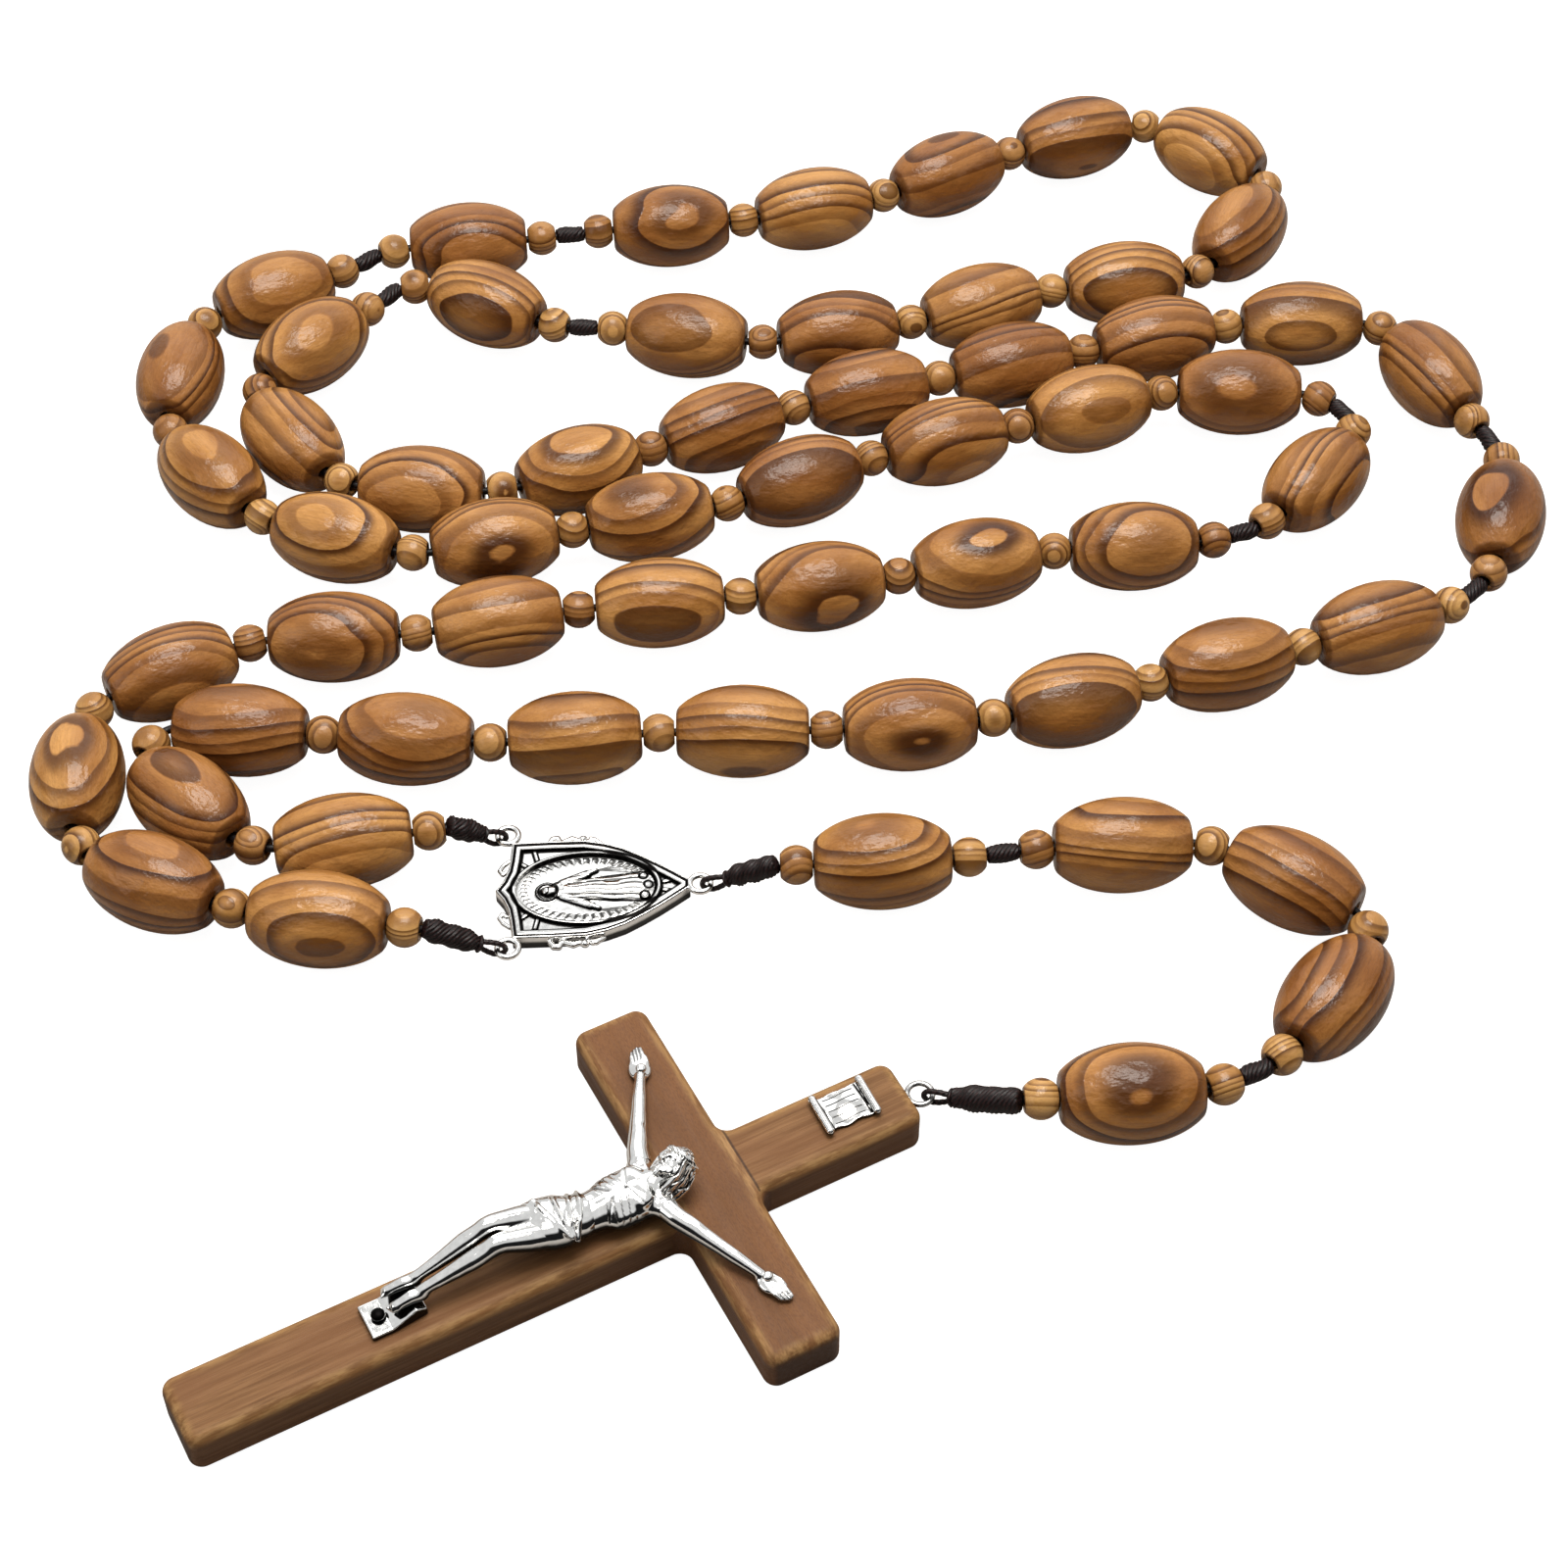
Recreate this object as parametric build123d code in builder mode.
from build123d import *
import math
import os

# Five-decade rosary laid out flat: a closed loop of strung wooden beads, a shield
# medal joining its ends, and a short pendant ending in a wooden crucifix.
# Millimetres, +Z up, table at z = 0, origin under the middle of the laid-out rosary.

os.makedirs("parts", exist_ok=True)

# ---- long beads (the prayer beads) ----
LONG_LENGTH = 24.6
LONG_RADIUS = 8.7
LONG_ELLIPSE = 14.0          # half length of the full ellipse before its ends are cut flat
LONG_EDGE_ROUND = 1.8
# ---- spacer beads: balls cut flat at both ends ----
SPACER_LENGTH = 5.8
SPACER_RADIUS = 3.6
# ---- bores and stringing cord ----
BORE_RADIUS = 1.3
MOUTH_CHAMFER = 0.4
CORD_RADIUS = 0.75
BEAD_CLEARANCE = 0.25
BEND_LEVER = 4.44            # width of the facing ends that has to clear where the string bends
SHARP_BEND_ROOM = 0.8        # extra room where the string bends by more than 45 degrees
AXIS_HEIGHT = LONG_RADIUS    # every bead axis lies one long-bead radius above the table
# ---- knots between the bead groups ----
KNOT_RUN = 6.4               # bare string between two groups
KNOT_HALF = 2.2
KNOT_RADIUS = 1.5
KNOT_END_RADIUS = 0.85
HINGE_GAP = 0.35             # where the string bends between two bodies
# ---- tie knots: a wrapped barrel and a thin loop through a metal ring ----
TIE_BARREL_RADIUS = 1.75
TIE_NECK_RADIUS = 1.1
TIE_LOOP_RADIUS = 0.5
TIE_LOOP_BEND = 1.45
TIE_LOOP_REACH = 4.2
TIE_GAP = 0.35
# ---- medal ----
MEDAL_THICKNESS = 3.4
MEDAL_FIELD = 2.4
MEDAL_HEADING = 3
RING_RADIUS = 1.9
RING_WIRE = 0.55
RING_HEIGHT = 2.8
MEDAL_RING_X = -17.0
MEDAL_RING_Y = 12.9
MEDAL_TIP_RING_X = 17.6
# ---- crucifix ----
CROSS_HEADING = 28
ARM_WIDTH = 13.6
CROSS_THICKNESS = 8.8
HEAD_LENGTH = 38.5
FOOT_LENGTH = 93.5
BAR_HALF = 36.6
FRONT_ROUND = 2.1
BACK_ROUND = 1.2
END_ROUND = 2.4
INNER_ROUND = 2.2
EYE_RADIUS = 2.2
EYE_WIRE = 0.5
EYE_HEIGHT = 4.4
EYE_X = HEAD_LENGTH + 2.9

# ---- layout on the table ----
SHIFT_X = -6.09
SHIFT_Y = -30.65
LOOP_START = (-64.0 + SHIFT_X, -11.0 + SHIFT_Y)      # centre of the first spacer
PENDANT_START = (2.2 + SHIFT_X, -18.9 + SHIFT_Y)
MEDAL_CENTRE = (-32.7 + SHIFT_X, -19.4 + SHIFT_Y)
CROSS_CENTRE = (-13.4 + SHIFT_X, -84.8 + SHIFT_Y)

# Headings of the long beads and of the bare string between groups, whole degrees
# from +X, in stringing order: ten beads, string, one bead, string, ten beads ...
LOOP_HEADINGS = [
    [-171, 137, -4, -4, 5, 1, 5, 17, 17, 19], 44, [77], 116,
    [115, 182, -165, -165, -164, -157, -157, 177, 128, 47], 45, [-27], -1,
    [-9, 12, 19, 8, 56, 141, -160, -152, -165, -174], -168, [-174], -144,
    [-152, -95, -48, -18, 13, 13, 25, 17, 19, -1], -57, [-131], -155,
    [-176, -167, -170, -174, -168, -177, -150, -86, -24, -7],
]
PENDANT_HEADINGS = [[3], 10, [3, -33, -128], -149, [-176]]
GROUP_NAMES = [
    "decade_1", "pater_1", "decade_2", "pater_2", "decade_3",
    "pater_3", "decade_4", "pater_4", "decade_5",
]
PENDANT_NAMES = ["pendant_upper", "pendant_middle", "pendant_lower"]

LONG_END_RADIUS = LONG_RADIUS * math.sqrt(1 - (LONG_LENGTH / 2 / LONG_ELLIPSE) ** 2)
SPACER_END_RADIUS = math.sqrt(SPACER_RADIUS ** 2 - (SPACER_LENGTH / 2) ** 2)


def unit(heading):
    return Vector(math.cos(math.radians(heading)), math.sin(math.radians(heading)), 0)


def turn(a, b):
    return (b - a + 180) % 360 - 180


def bead_gap(angle):
    # room the round end faces need so that the string can bend by this angle
    sharp = SHARP_BEND_ROOM * max(0, abs(angle) / 45 - 1)
    return BEAD_CLEARANCE + BEND_LEVER * math.tan(math.radians(abs(angle)) / 2) + sharp


def lay_group(entry, arrival, headings, departure):
    """Lay one group: spacer, long bead, spacer ... spacer, starting at the entry face."""
    long_beads, spacers, corners, angles = [], [], [entry], [None]
    point = entry
    spacer_heading = arrival + turn(arrival, headings[0]) / 2
    if abs(turn(arrival, spacer_heading)) > 0.2:
        corners.append(point)
        angles.append(turn(arrival, spacer_heading))
    spacers.append((point + unit(spacer_heading) * SPACER_LENGTH / 2, spacer_heading))
    point = point + unit(spacer_heading) * SPACER_LENGTH
    for number, heading in enumerate(headings):
        angle = turn(spacer_heading, heading)
        gap = bead_gap(angle)
        point = point + unit(spacer_heading) * gap / 2
        corners.append(point)
        angles.append(angle)
        point = point + unit(heading) * gap / 2
        long_beads.append((point + unit(heading) * LONG_LENGTH / 2, heading))
        point = point + unit(heading) * LONG_LENGTH
        following = headings[number + 1] if number + 1 < len(headings) else departure
        angle = turn(heading, following) / 2
        spacer_heading = heading + angle
        gap = bead_gap(angle)
        point = point + unit(heading) * gap / 2
        corners.append(point)
        angles.append(angle)
        point = point + unit(spacer_heading) * gap / 2
        spacers.append((point + unit(spacer_heading) * SPACER_LENGTH / 2, spacer_heading))
        point = point + unit(spacer_heading) * SPACER_LENGTH
    if abs(turn(spacer_heading, departure)) > 0.2:
        corners.append(point)
        angles.append(turn(spacer_heading, departure))
    return {
        "long": long_beads, "spacers": spacers, "corners": corners, "angles": angles,
        "entry": entry, "exit": point, "arrival": arrival, "departure": departure,
    }


def lay_string(first_spacer, plan):
    """Lay groups joined by knot runs; returns the groups and the middles of the runs."""
    height = Vector(0, 0, AXIS_HEIGHT)
    arrival = plan[0][0]
    entry = Vector(*first_spacer) + height - unit(arrival) * SPACER_LENGTH / 2
    groups, knots = [], []
    for index in range(0, len(plan), 2):
        headings = plan[index]
        departure = plan[index + 1] if index + 1 < len(plan) else headings[-1]
        group = lay_group(entry, arrival, headings, departure)
        groups.append(group)
        if index + 1 < len(plan):
            knots.append((group["exit"] + unit(departure) * KNOT_RUN / 2, departure))
            entry = group["exit"] + unit(departure) * KNOT_RUN
            arrival = departure
    return groups, knots


loop_groups, loop_knots = lay_string(LOOP_START, LOOP_HEADINGS)
pendant_groups, pendant_knots = lay_string(PENDANT_START, PENDANT_HEADINGS)


def place(item):
    point, heading = item
    return Location((point.X, point.Y, point.Z), (0, 0, heading))


def in_frame(centre, heading, x, y, z):
    ahead = unit(heading)
    left = unit(heading + 90)
    return Vector(centre[0], centre[1], 0) + ahead * x + left * y + Vector(0, 0, z)


upper_ring = in_frame(MEDAL_CENTRE, MEDAL_HEADING, MEDAL_RING_X, MEDAL_RING_Y, RING_HEIGHT)
lower_ring = in_frame(MEDAL_CENTRE, MEDAL_HEADING, MEDAL_RING_X, -MEDAL_RING_Y, RING_HEIGHT)
tip_ring = in_frame(MEDAL_CENTRE, MEDAL_HEADING, MEDAL_TIP_RING_X, 0, RING_HEIGHT)
eye_ring = in_frame(CROSS_CENTRE, CROSS_HEADING, EYE_X, 0, EYE_HEIGHT)


# ======== beads and spacers ========
with BuildPart() as long_bead:
    with BuildSketch(Plane.XZ):
        with BuildLine():
            half = LONG_LENGTH / 2
            cut = math.degrees(math.acos(half / LONG_ELLIPSE))
            EllipticalCenterArc(
                (0, 0), LONG_ELLIPSE, LONG_RADIUS, start_angle=cut, arc_size=180 - 2 * cut,
            )
            Polyline(
                (half, LONG_END_RADIUS), (half, BORE_RADIUS + MOUTH_CHAMFER),
                (half - MOUTH_CHAMFER, BORE_RADIUS), (MOUTH_CHAMFER - half, BORE_RADIUS),
                (-half, BORE_RADIUS + MOUTH_CHAMFER), (-half, LONG_END_RADIUS),
            )
        make_face()
    revolve(axis=Axis.X)
    end_edges = long_bead.edges().filter_by(GeomType.CIRCLE).sort_by(SortBy.RADIUS)[-2:]
    fillet(end_edges, radius=LONG_EDGE_ROUND)

with BuildPart() as spacer_bead:
    with BuildSketch(Plane.XZ):
        with BuildLine():
            half = SPACER_LENGTH / 2
            ThreePointArc((-half, SPACER_END_RADIUS), (0, SPACER_RADIUS), (half, SPACER_END_RADIUS))
            Polyline(
                (half, SPACER_END_RADIUS), (half, BORE_RADIUS + MOUTH_CHAMFER),
                (half - MOUTH_CHAMFER, BORE_RADIUS), (MOUTH_CHAMFER - half, BORE_RADIUS),
                (-half, BORE_RADIUS + MOUTH_CHAMFER), (-half, SPACER_END_RADIUS),
            )
        make_face()
    revolve(axis=Axis.X)

with BuildPart() as knot_blank:
    with BuildSketch(Plane.XZ):
        with BuildLine():
            ThreePointArc((-KNOT_HALF, KNOT_END_RADIUS), (0, KNOT_RADIUS), (KNOT_HALF, KNOT_END_RADIUS))
            Polyline(
                (KNOT_HALF, KNOT_END_RADIUS), (KNOT_HALF, 0), (-KNOT_HALF, 0),
                (-KNOT_HALF, KNOT_END_RADIUS),
            )
        make_face()
    revolve(axis=Axis.X)


def save(builder, name):
    builder.part.label = name
    export_step(builder.part, "parts/" + name + ".step")
    print(name, len(builder.part.solids()), round(builder.part.volume, 1))


def save_beads(group, long_name, spacer_name):
    with BuildPart() as long_beads:
        with Locations(*[place(item) for item in group["long"]]):
            add(long_bead.part)
    save(long_beads, long_name)
    with BuildPart() as spacers:
        with Locations(*[place(item) for item in group["spacers"]]):
            add(spacer_bead.part)
    save(spacers, spacer_name)


def save_knots(items, name):
    with BuildPart() as knots:
        with Locations(*[place(item) for item in items]):
            add(knot_blank.part)
    save(knots, name)


def save_cord(group, start_reach, end_reach, name):
    """String of one group, ending a given reach outside its first and last spacer."""
    points = [group["entry"] - unit(group["arrival"]) * start_reach]
    radii = []
    inner = list(zip(group["corners"], group["angles"]))[1:]
    for corner, angle in inner:
        if abs(angle) < 0.2:
            continue
        if (corner - group["entry"]).length < 0.01:
            room = 0.9 * min(start_reach, 1.0)
        elif (corner - group["exit"]).length < 0.01:
            room = 0.9 * min(end_reach, 1.0)
        else:
            room = 2.8 + 0.25 * (bead_gap(angle) - BEAD_CLEARANCE)
        points.append(corner)
        radii.append(room / math.tan(math.radians(abs(angle)) / 2))
    points.append(group["exit"] + unit(group["departure"]) * end_reach)
    with BuildPart() as cord:
        with BuildLine() as route:
            FilletPolyline(*points, radius=radii)
        with BuildSketch(Plane(origin=route.line @ 0, z_dir=route.line % 0)):
            Circle(CORD_RADIUS)
        sweep()
    length = sum(edge.length for edge in route.line.edges())
    ratio = cord.part.volume / (math.pi * CORD_RADIUS ** 2 * length)
    print(name, "length", round(length, 1), "volume ratio", round(ratio, 4))
    save(cord, name)


# reach of each group's string into the knot runs: a knot is butted by the string of
# its own body and stands a hinge gap clear of the string of the next body
BUTT = KNOT_RUN / 2 - KNOT_HALF
CLEAR = BUTT - HINGE_GAP
CORD_REACH = {
    "decade_1": (TIE_GAP, BUTT), "pater_1": (BUTT, BUTT), "decade_2": (BUTT, CLEAR),
    "pater_2": (BUTT, BUTT), "decade_3": (CLEAR, CLEAR), "pater_3": (BUTT, BUTT),
    "decade_4": (CLEAR, BUTT), "pater_4": (BUTT, BUTT), "decade_5": (BUTT, TIE_GAP),
}
for name, group in zip(GROUP_NAMES, loop_groups):
    if name.startswith("decade"):
        save_beads(group, name + "_aves", name + "_spacers")
    else:
        save_beads(group, name + "_bead", name + "_spacers")
    save_cord(group, CORD_REACH[name][0], CORD_REACH[name][1], name + "_cord")
for number in range(4):
    save_knots(loop_knots[2 * number:2 * number + 2], "pater_" + str(number + 1) + "_knots")

PENDANT_REACH = {
    "pendant_upper": (0.0, BUTT), "pendant_middle": (CLEAR, BUTT), "pendant_lower": (CLEAR, 0.0),
}
for name, group in zip(PENDANT_NAMES, pendant_groups):
    for number, item in enumerate(group["long"]):
        with BuildPart() as pendant_bead:
            with Locations(place(item)):
                add(long_bead.part)
        suffix = "_bead" if len(group["long"]) == 1 else "_bead_" + str(number + 1)
        save(pendant_bead, name + suffix)
    with BuildPart() as pendant_spacers:
        with Locations(*[place(item) for item in group["spacers"]]):
            add(spacer_bead.part)
    save(pendant_spacers, name + "_spacers")
    save_cord(group, PENDANT_REACH[name][0], PENDANT_REACH[name][1], name + "_cord")
save_knots([pendant_knots[0]], "pendant_upper_knot")
save_knots([pendant_knots[1]], "pendant_middle_knot")


# ======== tie knots ========
def save_tie(face, heading, ring, ring_radius, name):
    """Barrel knot from a spacer face to a thin loop through the ring's near wire."""
    dome = face + unit(heading) * (TIE_GAP + TIE_BARREL_RADIUS)
    flat = (ring - dome)
    flat.Z = 0
    wire = ring - flat.normalized() * ring_radius
    ahead = wire - dome
    length = ahead.length
    side = Vector(ahead.Y, -ahead.X, 0).normalized()
    frame = Plane(origin=wire, x_dir=ahead.normalized(), z_dir=side)
    neck = -TIE_LOOP_REACH
    with BuildPart() as tie:
        with BuildSketch(frame):
            with BuildLine():
                CenterArc((-length, 0), TIE_BARREL_RADIUS, 90, 90)
                Line((-length, TIE_BARREL_RADIUS), (neck - 1.4, TIE_BARREL_RADIUS))
                Line((neck - 1.4, TIE_BARREL_RADIUS), (neck, TIE_NECK_RADIUS))
                Line((neck, TIE_NECK_RADIUS), (neck, 0))
                Line((neck, 0), (-length - TIE_BARREL_RADIUS, 0))
            make_face()
        revolve(axis=Axis(frame.origin, frame.x_dir))
        with BuildLine(frame) as loop_line:
            bend = TIE_LOOP_BEND
            FilletPolyline(
                (neck - 0.8, 0.5), (-1.0, bend), (bend, bend), (bend, -bend),
                (-1.0, -bend), (neck - 0.8, -0.5), radius=[3.0, bend - 0.02, bend - 0.02, 3.0],
            )
        with BuildSketch(Plane(origin=loop_line.line @ 0, z_dir=loop_line.line % 0)):
            Circle(TIE_LOOP_RADIUS)
        sweep()
    save(tie, name)
    return dome, wire


first = loop_groups[0]
last = loop_groups[-1]
upper_tie = save_tie(first["entry"], first["arrival"] + 180, upper_ring, RING_RADIUS, "tie_upper")
lower_tie = save_tie(last["exit"], last["departure"], lower_ring, RING_RADIUS, "tie_lower")
pendant_in = pendant_groups[0]
pendant_out = pendant_groups[-1]
tip_tie = save_tie(pendant_in["entry"], pendant_in["arrival"] + 180, tip_ring, RING_RADIUS, "tie_tip")
cross_tie = save_tie(pendant_out["exit"], pendant_out["departure"], eye_ring, EYE_RADIUS, "tie_cross")


# ======== medal: one casting with three rings ========
MEDAL_PLANE = Plane(origin=(MEDAL_CENTRE[0], MEDAL_CENTRE[1], 0), x_dir=unit(MEDAL_HEADING), z_dir=(0, 0, 1))
MEDAL_TOP = MEDAL_PLANE.offset(MEDAL_THICKNESS)
OVAL_X = -2.9
OVAL_LONG = 13.2
OVAL_SHORT = 7.9
OVAL_RIM = 0.9
POCKET = (MEDAL_THICKNESS - MEDAL_FIELD) / 2
CURLS = [(-8.6, 11.5, 1.0), (-6.4, 11.6, 0.9), (-4.0, 11.5, 1.1), (-1.6, 10.9, 0.9)]
SIDE_CURLS = [(-17.8, 4.7), (-17.8, -4.7)]
BORDER_MARKS = 30


def shield_outline():
    Line((-16.2, 10.9), (-3.0, 10.9))
    ThreePointArc((-3.0, 10.9), (7.2, 6.9), (15.8, 0.9))
    Line((15.8, 0.9), (15.8, -0.9))
    ThreePointArc((15.8, -0.9), (7.2, -6.9), (-3.0, -10.9))
    Line((-3.0, -10.9), (-16.2, -10.9))
    Line((-16.2, -10.9), (-16.6, -6.9))
    ThreePointArc((-16.6, -6.9), (-17.3, -3.2), (-19.3, 0))
    ThreePointArc((-19.3, 0), (-17.3, 3.2), (-16.6, 6.9))
    Line((-16.6, 6.9), (-16.2, 10.9))


with BuildPart() as medal:
    with BuildSketch(MEDAL_PLANE):
        with BuildLine():
            shield_outline()
        make_face()
        for x, y, radius in CURLS:
            with Locations((x, y), (x, -y)):
                Circle(radius)
        with Locations(*SIDE_CURLS):
            Circle(1.0)
    extrude(amount=MEDAL_THICKNESS)
    # sunk field between the border and the oval, front and back
    with BuildSketch(MEDAL_TOP):
        with BuildLine():
            shield_outline()
        make_face()
        offset(amount=-1.2)
        with Locations((OVAL_X, 0)):
            Ellipse(OVAL_LONG, OVAL_SHORT, mode=Mode.SUBTRACT)
    extrude(amount=-POCKET, mode=Mode.SUBTRACT)
    with BuildSketch(MEDAL_TOP):
        with Locations((OVAL_X, 0)):
            Ellipse(OVAL_LONG - OVAL_RIM, OVAL_SHORT - OVAL_RIM)
    extrude(amount=-POCKET, mode=Mode.SUBTRACT)
    with BuildSketch(MEDAL_PLANE):
        with BuildLine():
            shield_outline()
        make_face()
        offset(amount=-1.2)
    extrude(amount=POCKET, mode=Mode.SUBTRACT)
    # plain standing figure in low relief, head toward the left point
    with BuildSketch(MEDAL_TOP.offset(-POCKET)):
        with Locations((-9.4, 0)):
            Circle(1.5)
        with BuildLine():
            Polyline((-8.2, -0.9), (-7.2, -2.4), (7.4, -3.6), (7.4, 3.6), (-7.2, 2.4), (-8.2, 0.9), close=True)
        make_face()
    extrude(amount=POCKET * 0.8)
    # plain ring of dots where the border of the oval runs
    with BuildSketch(MEDAL_TOP.offset(-POCKET)):
        for mark in range(BORDER_MARKS):
            angle = 2 * math.pi * (mark + 0.5) / BORDER_MARKS
            with Locations((OVAL_X + 11.3 * math.cos(angle), 6.1 * math.sin(angle))):
                Circle(0.3)
    extrude(amount=POCKET * 0.5)
    for ring in (upper_ring, lower_ring, tip_ring):
        with Locations(ring):
            Torus(RING_RADIUS, RING_WIRE)
save(medal, "medal")


# ======== crucifix ========
CROSS_PLANE = Plane(origin=(CROSS_CENTRE[0], CROSS_CENTRE[1], 0), x_dir=unit(CROSS_HEADING), z_dir=(0, 0, 1))
HALF_ARM = ARM_WIDTH / 2
LAP = CROSS_THICKNESS / 2
NAIL_SHANK = 0.5
NAIL_FIT = 0.02
NAIL_DEPTH = 3.0
HAND_NAIL_Y = 23.0
FOOT_NAIL_X = -58.2
SHANK_RADIUS = 0.65
SHANK_END = HEAD_LENGTH - 7.0


def on_cross(x, y, z):
    return in_frame(CROSS_CENTRE, CROSS_HEADING, x, y, z)


NAIL_PLACES = [(0, HAND_NAIL_Y), (0, -HAND_NAIL_Y), (FOOT_NAIL_X, 0)]

with BuildPart() as cross_blank:
    with BuildSketch(CROSS_PLANE) as cross_plan:
        with Locations(((HEAD_LENGTH - FOOT_LENGTH) / 2, 0)):
            Rectangle(HEAD_LENGTH + FOOT_LENGTH, ARM_WIDTH)
        Rectangle(ARM_WIDTH, 2 * BAR_HALF)
        corners = cross_plan.vertices()
        centre = on_cross(0, 0, 0)
        outer = corners.filter_by(lambda v: (Vector(v) - centre).length > ARM_WIDTH)
        fillet(outer, radius=END_ROUND)
        inner = cross_plan.vertices().filter_by(
            lambda v: abs((Vector(v) - centre).length - HALF_ARM * math.sqrt(2)) < 0.01
        )
        fillet(inner, radius=INNER_ROUND)
    extrude(amount=CROSS_THICKNESS)
    fillet(cross_blank.faces().sort_by(Axis.Z)[-1].edges(), radius=FRONT_ROUND)
    fillet(cross_blank.faces().sort_by(Axis.Z)[0].edges(), radius=BACK_ROUND)

with BuildPart() as cross_upright:
    add(cross_blank.part)
    with Locations(on_cross((HEAD_LENGTH - FOOT_LENGTH) / 2, 0, LAP)):
        Box(
            HEAD_LENGTH + FOOT_LENGTH + 2, ARM_WIDTH, CROSS_THICKNESS + 2,
            rotation=(0, 0, CROSS_HEADING), mode=Mode.INTERSECT,
        )
    with Locations(on_cross(0, 0, LAP)):
        Box(
            ARM_WIDTH, ARM_WIDTH + 2, LAP + 1, rotation=(0, 0, CROSS_HEADING),
            align=(Align.CENTER, Align.CENTER, Align.MIN), mode=Mode.SUBTRACT,
        )
    with Locations(on_cross(FOOT_NAIL_X, 0, CROSS_THICKNESS - NAIL_DEPTH)):
        Cylinder(
            NAIL_SHANK + NAIL_FIT, NAIL_DEPTH + 1,
            align=(Align.CENTER, Align.CENTER, Align.MIN), mode=Mode.SUBTRACT,
        )
    with Locations(Plane(origin=on_cross(SHANK_END, 0, EYE_HEIGHT), z_dir=unit(CROSS_HEADING))):
        Cylinder(
            SHANK_RADIUS + NAIL_FIT, 20,
            align=(Align.CENTER, Align.CENTER, Align.MIN), mode=Mode.SUBTRACT,
        )
save(cross_upright, "cross_upright")

with BuildPart() as cross_bar:
    add(cross_blank.part)
    with Locations(on_cross(HALF_ARM, 0, -1)):
        Box(
            HEAD_LENGTH + 2, ARM_WIDTH, CROSS_THICKNESS + 2, rotation=(0, 0, CROSS_HEADING),
            align=(Align.MIN, Align.CENTER, Align.MIN), mode=Mode.SUBTRACT,
        )
    with Locations(on_cross(-HALF_ARM, 0, -1)):
        Box(
            FOOT_LENGTH + 2, ARM_WIDTH, CROSS_THICKNESS + 2, rotation=(0, 0, CROSS_HEADING),
            align=(Align.MAX, Align.CENTER, Align.MIN), mode=Mode.SUBTRACT,
        )
    with Locations(on_cross(0, 0, -1)):
        Box(
            ARM_WIDTH + 0.01, ARM_WIDTH, LAP + 1, rotation=(0, 0, CROSS_HEADING),
            align=(Align.CENTER, Align.CENTER, Align.MIN), mode=Mode.SUBTRACT,
        )
    for side in (-1, 1):
        with Locations(on_cross(0, side * HAND_NAIL_Y, CROSS_THICKNESS - NAIL_DEPTH)):
            Cylinder(
                NAIL_SHANK + NAIL_FIT, NAIL_DEPTH + 1,
                align=(Align.CENTER, Align.CENTER, Align.MIN), mode=Mode.SUBTRACT,
            )
save(cross_bar, "cross_bar")

# ---- foot plate: a wedge under the feet ----
PLATE_TOP = CROSS_THICKNESS + 2.6
with BuildPart() as foot_plate:
    with BuildSketch(Plane(origin=on_cross(0, -3.3, 0), x_dir=unit(CROSS_HEADING), z_dir=unit(CROSS_HEADING - 90))):
        Polygon(
            (-50.5, CROSS_THICKNESS), (-60.6, CROSS_THICKNESS), (-60.6, CROSS_THICKNESS + 1.2),
            (-52.5, PLATE_TOP), (-50.5, PLATE_TOP - 0.6), align=None,
        )
    extrude(amount=-6.6)
    with Locations(on_cross(FOOT_NAIL_X, 0, CROSS_THICKNESS - 1)):
        Cylinder(
            NAIL_SHANK + NAIL_FIT, 6,
            align=(Align.CENTER, Align.CENTER, Align.MIN), mode=Mode.SUBTRACT,
        )
save(foot_plate, "foot_plate")

# ---- corpus: trunk, arms, legs and bowed head, each limb lofted through its joints ----
# sections: along the upright, across it, above the table, half width, half depth
TRUNK = [
    (-8.0, 0, 12.7, 3.6, 1.7), (-10.4, 0, 12.9, 5.6, 2.8), (-15.0, 0, 13.2, 5.0, 3.4),
    (-20.5, 0.3, 12.9, 3.6, 2.7), (-25.0, 0.6, 12.9, 4.6, 3.4), (-30.0, 0.9, 13.4, 4.4, 3.0),
]
ARM = [
    (-9.9, 3.2, 12.4, 2.0, 2.0), (-8.7, 6.4, 12.2, 1.9, 1.9), (-6.8, 10.4, 11.8, 1.55, 1.55),
    (-4.7, 14.4, 11.4, 1.3, 1.3), (-3.0, 17.4, 10.9, 1.35, 1.3), (-1.0, 21.0, 10.2, 1.0, 0.95),
    (0.2, 23.4, 9.9, 1.6, 0.95), (1.1, 27.2, 9.6, 0.9, 0.6),
]
LEG = [
    (-26.5, 2.2, 12.9, 2.4, 2.5), (-32.0, 2.6, 14.8, 2.2, 2.3), (-37.4, 2.4, 16.3, 1.75, 1.8),
    (-43.0, 2.0, 15.3, 1.7, 1.7), (-50.4, 1.6, 13.4, 1.0, 1.05), (-55.2, 2.0, 12.1, 1.1, 0.8),
]
LEG_LEAN = 1.0               # both knees lean to one side of the upright


def loft_limb(sections):
    """Loft ellipses through the joints; each ellipse faces along the limb."""
    points = [on_cross(*section[:3]) for section in sections]
    faces = []
    for number, section in enumerate(sections):
        before = points[max(number - 1, 0)]
        after = points[min(number + 1, len(points) - 1)]
        along = (after - before).normalized()
        across = Vector(0, 0, 1).cross(along).normalized()
        with BuildSketch(Plane(origin=points[number], x_dir=across, z_dir=along)) as ring:
            Ellipse(section[3], section[4])
        faces.append(ring.sketch.faces()[0])
    loft(sections=faces)


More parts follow.
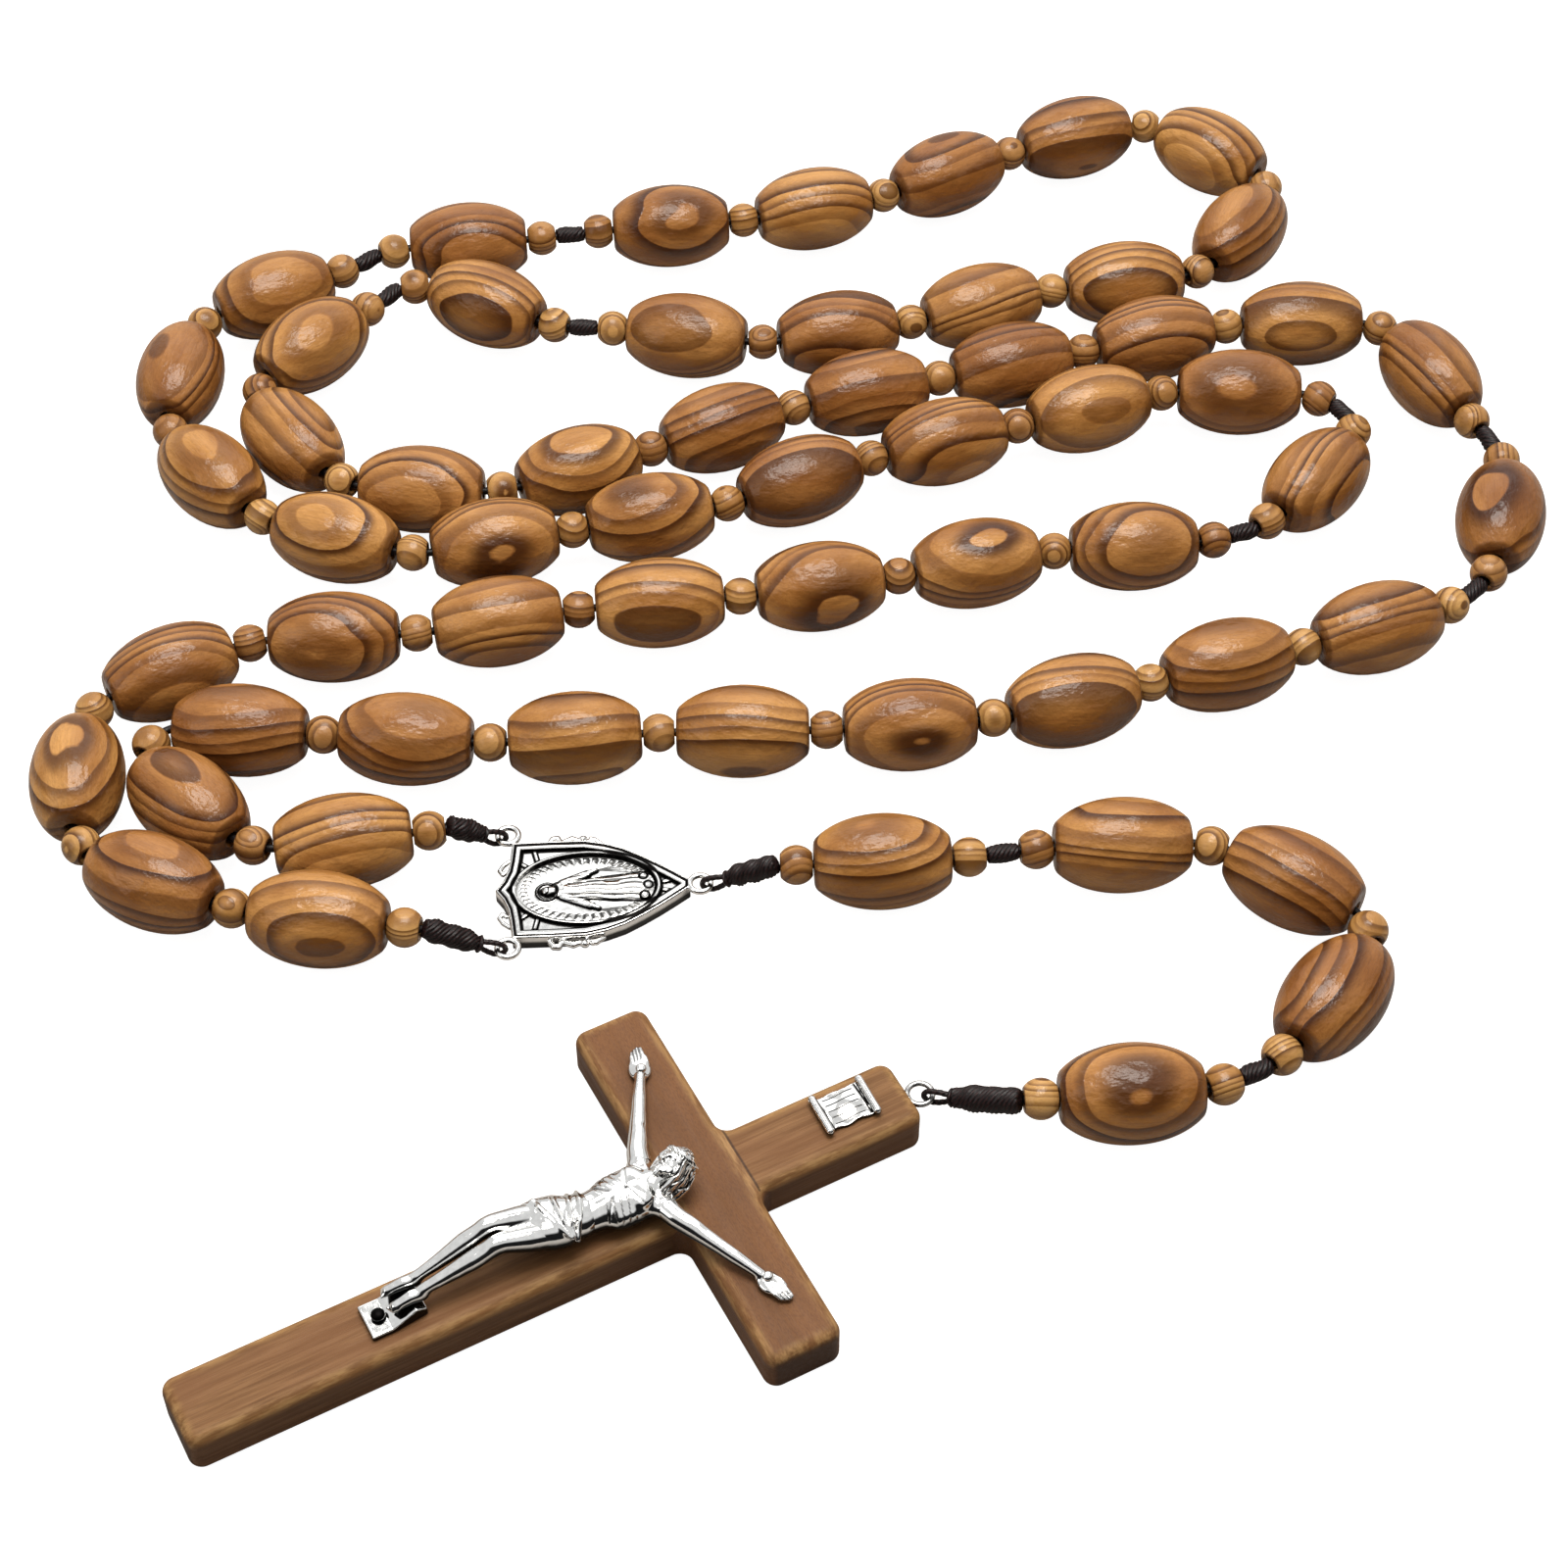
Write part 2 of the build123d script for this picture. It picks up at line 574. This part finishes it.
with BuildPart() as corpus:
    loft_limb(TRUNK)
    for side in (-1, 1):
        loft_limb([(x, y * side, z, wide, deep) for x, y, z, wide, deep in ARM])
        loft_limb([(x, y * side + LEG_LEAN, z, wide, deep) for x, y, z, wide, deep in LEG])
    # neck and head, bowed toward one shoulder
    with Locations(on_cross(-4.4, -0.5, 15.0)):
        Sphere(3.0)
    with Locations(on_cross(-6.6, -0.9, 14.9)):
        Sphere(2.2)
    with Locations(on_cross(-8.4, 0, 13.8)):
        Sphere(1.9)
    # flat hands against the wood, feet against the plate
    with Locations(on_cross(0, 0, CROSS_THICKNESS)):
        Box(
            300, 300, 20, align=(Align.CENTER, Align.CENTER, Align.MAX), mode=Mode.SUBTRACT,
        )
    add(foot_plate.part, mode=Mode.SUBTRACT)
    for side in (-1, 1):
        with Locations(on_cross(0, side * HAND_NAIL_Y, CROSS_THICKNESS - 1)):
            Cylinder(
                NAIL_SHANK + NAIL_FIT, 6,
                align=(Align.CENTER, Align.CENTER, Align.MIN), mode=Mode.SUBTRACT,
            )
save(corpus, "corpus")

# ---- nails: shank into the wood, domed head outside ----
with BuildPart() as nails:
    for x, y in NAIL_PLACES:
        seat = CROSS_THICKNESS + (2.2 if y else 1.9)
        with Locations(on_cross(x, y, CROSS_THICKNESS - NAIL_DEPTH + 0.1)):
            Cylinder(
                NAIL_SHANK, seat - CROSS_THICKNESS + NAIL_DEPTH,
                align=(Align.CENTER, Align.CENTER, Align.MIN),
            )
        with Locations(on_cross(x, y, seat)):
            Cone(1.15, 0.6, 0.6, align=(Align.CENTER, Align.CENTER, Align.MIN))
save(nails, "nails")

# ---- blank scroll plate above the head ----
with BuildPart() as scroll_plate:
    with Locations(on_cross(27.0, 0.8, CROSS_THICKNESS)):
        Box(
            8.6, 6.8, 1.0, rotation=(0, 0, CROSS_HEADING),
            align=(Align.CENTER, Align.CENTER, Align.MIN),
        )
    for end in (-1, 1):
        roll_start = on_cross(27.0 + end * 4.3, 0.8 - 3.4, CROSS_THICKNESS + 0.8)
        with Locations(Plane(origin=roll_start, z_dir=unit(CROSS_HEADING + 90))):
            Cylinder(0.8, 6.8, align=(Align.CENTER, Align.CENTER, Align.MIN))
save(scroll_plate, "scroll_plate")

# ---- screw eye ----
with BuildPart() as screw_eye:
    with Locations(eye_ring):
        Torus(EYE_RADIUS, EYE_WIRE)
    with Locations(Plane(origin=on_cross(SHANK_END + 0.2, 0, EYE_HEIGHT), z_dir=unit(CROSS_HEADING))):
        Cylinder(
            SHANK_RADIUS, EYE_X - EYE_RADIUS - SHANK_END - 0.1,
            align=(Align.CENTER, Align.CENTER, Align.MIN),
        )
save(screw_eye, "screw_eye")
